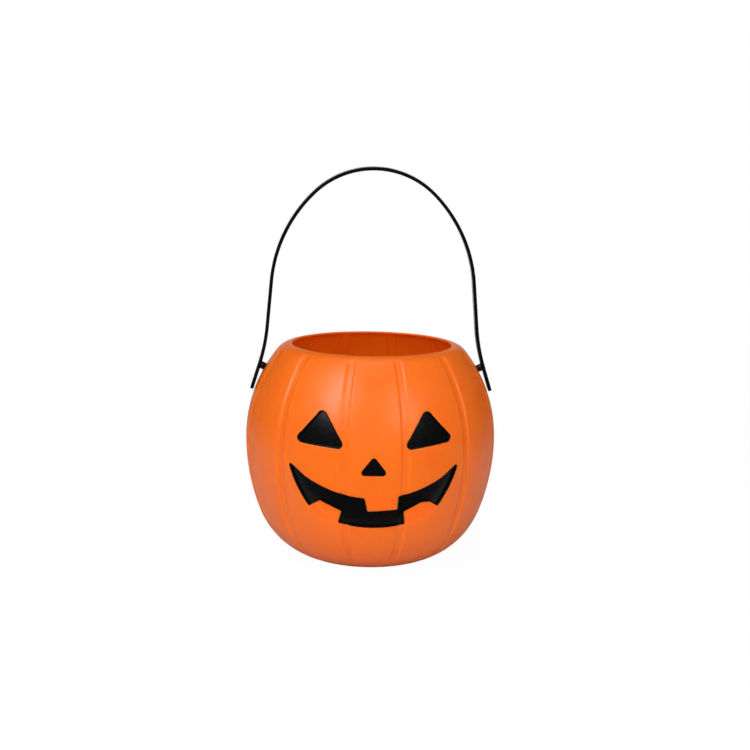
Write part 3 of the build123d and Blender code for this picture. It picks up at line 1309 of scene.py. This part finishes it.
@dataclass
class FacePaint:
    """Coats of paint in the recesses, each a film that climbs the wall and most of its rounded edge."""

    relief: FaceRelief
    gap: float = 0.02
    coat: float = 0.05
    cover: float = 62.0
    climb_points: int = 7
    fillet: float = 0.08
    fillet_points: int = 4
    level: float = 0.35

    def section(self, shoulder: float) -> tuple[Array, Array, Array]:
        """Section of a coat's edge: up the back of the film, over its thin rim and down its face.

        On the rounded edge, film and wall are arcs about one centre.

        Args:
            shoulder: Radius of the rounded edge.

        Returns:
            Offset outwards from the outline, depth below the skin, and depth of the floor, of each row.
        """
        floor, bottom = self.relief.recess_depth - self.relief.film, self.relief.recess_depth - self.gap
        climb = np.radians(np.linspace(90, 90 - self.cover, self.climb_points))
        turn = quarter(self.fillet_points)
        back, face = shoulder + self.gap, shoulder + self.gap + self.coat
        edge = -self.gap - self.coat
        out = [[-self.gap], shoulder - back * np.sin(climb), shoulder - face * np.sin(climb[::-1]),
               edge - self.fillet * (1 - np.cos(turn)), [edge - self.fillet - self.level]]
        down = [[bottom], shoulder - back * np.cos(climb), shoulder - face * np.cos(climb[::-1]),
                floor - self.fillet * (1 - np.sin(turn)), [floor]]
        out, down = np.concatenate(out), np.concatenate(down)
        return out, down, np.where(np.arange(len(out)) <= self.climb_points, bottom, floor)

    def build(self) -> None:
        """Carries the section along each outline, and closes the film over the floor and under it."""
        relief, material = self.relief, SprayedPaint().material()
        for name, loop in relief.loops.items():
            mesh, shoulder = Mesh(), relief.shoulder(name)
            out, down, base = self.section(shoulder)
            room = np.maximum(inward_reach(loop, -out.min()), self.gap + self.coat)
            move = np.maximum(out[:, None], -steady_reach(loop, room)[None])
            spots = loop[None] + move[..., None] * loop_normals(loop)[None]
            flat = spots.reshape(-1, 2)
            depth, bottom = np.repeat(down, len(loop)), np.repeat(base, len(loop))
            share = np.minimum(depth, shoulder) / relief.recess_depth
            rim = relief.skin(flat) * (1 - share) + relief.floor(flat, relief.recess_depth) * share
            below = np.clip((depth - shoulder) / (bottom - shoulder), 0, 1)
            y = rim * (1 - below) + relief.floor(flat, bottom) * below
            rows = raised(flat, y).reshape(*spots.shape[:2], 3)
            mesh.quads(mesh.add(rows))
            relief.add_floor(mesh, rows[-1], base[-1])
            relief.add_floor(mesh, rows[0], base[0], order=-1)
            mesh.build(f"{name}_coat", Body.PAIL, f"{name}_paint", Slot.PAINT, material)


@dataclass
class StrapHandle:
    """Flat strap bowed over the mouth, with a snap stud moulded on the inside near each end."""

    meridian: Meridian
    wall: float = 1.6
    hinge_height: float = 159.5
    width: float = 12.0
    thickness: float = 2.88
    edge_round: float = 0.4
    end_clear: float = 1.2
    section_points: int = 6
    stand_off: float = 5.4
    tail_lean: float = 17.1
    tail_length: float = 21.0
    stud_run: float = 0.5
    flare_radius: float = 155.5
    leg_lean: float = 4.8
    leg_length: float = 37.6
    bow_side_radius: float = 117.5
    bow_apex_turn: float = 44.5
    step: float = 1.5
    stud_radius: float = 3.1
    stud_dip: float = 24.0
    stud_fillet: float = 0.6
    stud_columns: int = 32
    head_radius: float = 5.25
    head_stand_off: float = 5.4
    head_length: float = 3.2
    head_tip_radius: float = 2.6
    head_edge: float = 0.35

    def hinge_point(self) -> Array:
        """Middle of the wall on the hinge line, at the right, as (x, z)."""
        radius = self.meridian.radius_at(np.array(self.hinge_height), self.wall / 2)
        return np.array([float(radius), self.hinge_height])

    def middle_line(self) -> Array:
        """Strap's middle line in (x, z), from the end of the right tail over the bow to the left one.

        Returns:
            Points at about even steps.
        """
        dip, lean = np.radians(self.stud_dip), np.radians(self.tail_lean)
        stud = self.hinge_point() + self.stand_off / np.cos(dip) * compass(dip)
        end = stud + self.tail_length * np.array([np.sin(lean), -np.cos(lean)])
        pen = Pen(end, 90 + self.tail_lean, self.step)
        pen.line(self.tail_length + self.stud_run).bend(self.flare_radius, self.leg_lean - self.tail_lean)
        pen.line(self.leg_length).bend(self.bow_side_radius, 90 - self.leg_lean - self.bow_apex_turn)
        pen.bend(float(pen.place[0] / np.sin(np.radians(self.bow_apex_turn))), self.bow_apex_turn)
        right = pen.points()
        return np.concatenate([right, right[-2::-1] * [-1, 1]])

    def strap_rings(self) -> Array:
        """Flat section with rounded edges carried along the middle line, and drawn in round both ends.

        Returns:
            Points, rings by places round the section.
        """
        line, r, turn = self.middle_line(), self.edge_round, quarter()[:-1]
        along = lengths_along(line)
        ends, drawn_in = r * (1 - np.cos(turn)), r * (1 - np.sin(turn))
        clear = self.end_clear * r
        inner = along[(along > clear) & (along < along[-1] - clear)]
        marks = np.concatenate([ends, [r], inner, [along[-1] - r], along[-1] - ends[::-1]])
        pinch = np.concatenate([drawn_in, np.zeros(len(inner) + 2), drawn_in[::-1]])
        path = at_marks(marks, along, line)
        way = unit(at_marks(marks, along, np.gradient(line, along, axis=0)))
        out = np.stack([way[:, 1], -way[:, 0]], 1)
        half = np.array([self.width / 2, self.thickness / 2])
        section = round_corners(half * [(-1, -1), (1, -1), (1, 1), (-1, 1)], r, self.section_points)
        drawn = section[None] * (1 - pinch[:, None, None] / half)
        spot = path[:, None] + drawn[..., 1:] * out[:, None]
        return np.stack([spot[..., 0], drawn[..., 0], spot[..., 1]], 2)

    def stud_rings(self, side: Side) -> Array:
        """Neck and barbed head turned about the stud's own axis, which dips into the pail.

        Args:
            side: Side of the pail.

        Returns:
            Points, rings by places round the axis.
        """
        dip, r, edge = np.radians(self.stud_dip), self.stud_radius, self.head_edge
        root, back = self.stand_off / np.cos(dip), -self.head_stand_off
        tip, wide, narrow = back - self.head_length, self.head_radius, self.head_tip_radius
        flare = self.stud_fillet * (1 - np.stack([np.sin(quarter()), np.cos(quarter())], 1)) * [1, -1]
        profile = np.array([
            (r + self.stud_fillet, root), *(flare + [r, root - self.thickness / 2]), (r, back + edge),
            (r + edge, back), (wide - edge, back), (wide, back - edge / 2), (wide - edge / 2, back - edge),
            (narrow + edge, tip + edge / 2), (narrow, tip)])
        angle = np.linspace(0, 2 * np.pi, self.stud_columns, endpoint=False)
        across, sway = profile[:, :1] * np.cos(angle), profile[:, :1] * np.sin(angle)
        run, place = profile[:, 1:] * np.ones_like(angle), self.hinge_point()
        x = place[0] + run * np.cos(dip) - sway * np.sin(dip)
        z = place[1] + run * np.sin(dip) + sway * np.cos(dip)
        return np.stack([side.value * x, across, z], 2)

    def build(self) -> None:
        """Joins the strap and its two studs in one piece."""
        mesh = Mesh()
        mesh.rod(self.strap_rings())
        for side in Side:
            mesh.rod(self.stud_rings(side), turned=side is Side.LEFT)
        material = GlossPolyethylene().material()
        mesh.build("handle_moulding", Body.HANDLE, "handle_strap", Slot.STRAP, material)


@dataclass(frozen=True)
class Lamp:
    """Soft rectangular lamp that faces a point on the pail's axis."""

    name: str
    place: tuple[float, float, float]
    size: tuple[float, float]
    power: float
    aim_height: float = 110.0
    reflected: bool = True

    def build(self) -> None:
        """Adds the lamp to the scene."""
        data = bpy.data.lights.new(self.name, "AREA")
        data.shape = "RECTANGLE"
        data.size, data.size_y = self.size[0] * MM, self.size[1] * MM
        data.energy = self.power
        lamp = bpy.data.objects.new(self.name, data)
        spot = Vector(self.place) * MM
        lamp.location = spot
        lamp.visible_glossy = self.reflected
        aim = Vector((0, 0, self.aim_height * MM)) - spot
        lamp.rotation_euler = aim.to_track_quat("-Z", "Y").to_euler()
        bpy.context.scene.collection.objects.link(lamp)


@dataclass(frozen=True)
class Studio:
    """Camera at the photograph's place, a white backdrop, a white table and soft lamps in a dark room."""

    distance: float = 1500.0
    camera_height: float = 414.7
    aim_height: float = 153.5
    aim_right: float = 3.2
    yaw: float = 2.25
    roll: float = 1.0
    focal_pixels: float = 1805.0
    sensor: float = 36.0
    table_half_width: float = 700.0
    table_front: float = -125.0
    table_back: float = 1200.0
    paper: str = "#C0C0C0"
    paper_white: float = 0.93
    paper_strength: float = 1.04
    ambient: float = 0.5
    dark: float = 0.03
    sheet_sides: tuple[float, float] = (0.88, 0.99)
    sheet_top: tuple[float, float] = (0.35, 0.1)
    nearest: float = 10.0
    furthest: float = 50000.0
    lamps: tuple[Lamp, ...] = (
        Lamp("left_softbox", (-780, -930, 1060), (450, 850), 8.8),
        Lamp("right_softbox", (720, -1250, 850), (400, 600), 4.2),
        Lamp("top_softbox", (0, -150, 1500), (700, 700), 2.2),
        Lamp("front_fill", (-120, -1450, 480), (900, 650), 8.6, reflected=False),
        Lamp("low_fill", (-200, -1400, -60), (900, 500), 5.2, reflected=False),
    )

    def build(self) -> None:
        """Sets the colour management, the world, the table, the lamps and the camera."""
        scene = bpy.context.scene
        scene.view_settings.view_transform = "Standard"
        self.build_world(scene)
        self.build_table(scene)
        for lamp in self.lamps:
            lamp.build()
        self.build_camera(scene)

    def build_world(self, scene: bpy.types.Scene) -> None:
        """White backdrop for the eye, a white sheet in a dark room for reflections, and soft plain light.

        Args:
            scene: Scene that gets the world.
        """
        scene.world = bpy.data.worlds.new("white_backdrop")
        tree = empty_tree(scene.world)
        path = add_node(tree, "LightPath", {})
        seen = add_node(tree, "Math", {0: (path, "Is Camera Ray"), 1: (path, "Is Transmission Ray")},
                        operation="ADD", use_clamp=True)
        way = add_node(tree, "SeparateXYZ", {0: (add_node(tree, "TexCoord", {}), "Generated")})
        # The sheet fills the directions near +Y that are low above the table.
        behind, low = [
            add_node(tree, "MapRange", {"Value": (way, axis), "From Min": none, "From Max": full},
                     interpolation_type="SMOOTHSTEP")
            for axis, (none, full) in (("Y", self.sheet_sides), ("Z", self.sheet_top))]
        sheet = add_node(tree, "Math", {0: (behind, "Result"), 1: (low, "Result")}, operation="MULTIPLY")
        room = add_node(tree, "MapRange", {"Value": (sheet, "Value"), "To Min": self.dark, "To Max": 1.0})
        glossy = add_node(tree, "Mix", {0: (path, "Is Glossy Ray"), 2: self.ambient, 3: (room, "Result")})
        strength = add_node(tree, "Mix", {0: (seen, "Value"), 2: (glossy, 0), 3: 1.0})
        light = add_node(tree, "Background", {"Color": linear("#FFFFFF"), "Strength": (strength, 0)})
        add_node(tree, "OutputWorld", {"Surface": (light, "Background")})

    def build_table(self, scene: bpy.types.Scene) -> None:
        """Paper table top that looks white, keeps the pail's shadow and ends a little in front of it.

        Args:
            scene: Scene that gets the table.
        """
        half, front, back = self.table_half_width * MM, self.table_front * MM, self.table_back * MM
        corners = [(-half, front, 0), (half, front, 0), (half, back, 0), (-half, back, 0)]
        mesh = bpy.data.meshes.new("studio_floor")
        mesh.from_pydata(corners, [], [(0, 1, 2, 3)])
        floor = bpy.data.objects.new("studio_floor", mesh)
        scene.collection.objects.link(floor)
        material = bpy.data.materials.new("white_paper_floor")
        tree = empty_tree(material)
        seen = (add_node(tree, "LightPath", {}), "Is Camera Ray")
        share = add_node(tree, "Math", {0: seen, 1: self.paper_white}, operation="MULTIPLY")
        paper = add_node(tree, "BsdfDiffuse", {"Color": linear(self.paper)})
        # The eye gets most of its white from here: the strength makes up for the paper's grey share.
        white = add_node(tree, "Emission", {"Color": linear("#FFFFFF"), "Strength": self.paper_strength})
        both = add_node(tree, "MixShader", {0: (share, "Value"), 1: (paper, "BSDF"), 2: (white, "Emission")})
        add_node(tree, "OutputMaterial", {"Surface": (both, "Shader")})
        mesh.materials.append(material)

    def build_camera(self, scene: bpy.types.Scene) -> None:
        """Camera as it was fitted to the photograph, square frame, a little left of the face and rolled.

        Args:
            scene: Scene that gets the camera.
        """
        data = bpy.data.cameras.new("photo_camera")
        data.sensor_width = self.sensor
        data.lens = self.focal_pixels * self.sensor / PHOTO_WIDTH
        data.clip_start, data.clip_end = self.nearest * MM, self.furthest * MM
        camera = bpy.data.objects.new("photo_camera", data)
        yaw = np.radians(self.yaw)
        aside = self.aim_right * np.array([np.cos(yaw), -np.sin(yaw), 0])
        place = aside + [-np.sin(yaw) * self.distance, -np.cos(yaw) * self.distance, self.camera_height]
        aim = aside + [0, 0, self.aim_height]
        turn = Vector(aim - place).to_track_quat("-Z", "Y").to_matrix()
        turn = turn @ Matrix.Rotation(np.radians(self.roll), 3, "Z")
        camera.matrix_world = Matrix.Translation(Vector(place) * MM) @ turn.to_4x4()
        scene.collection.objects.link(camera)
        scene.camera = camera


def main() -> None:
    """Builds the pail, its paint, its handle and the studio."""
    logging.basicConfig(level=logging.INFO, format="%(name)s: %(message)s")
    meridian, ribs = Meridian(), Ribs()
    relief = FaceRelief(meridian, ribs)
    PailShell(meridian, ribs, relief).build()
    FacePaint(relief).build()
    StrapHandle(meridian).build()
    Studio().build()


if __name__ == "__main__":
    main()
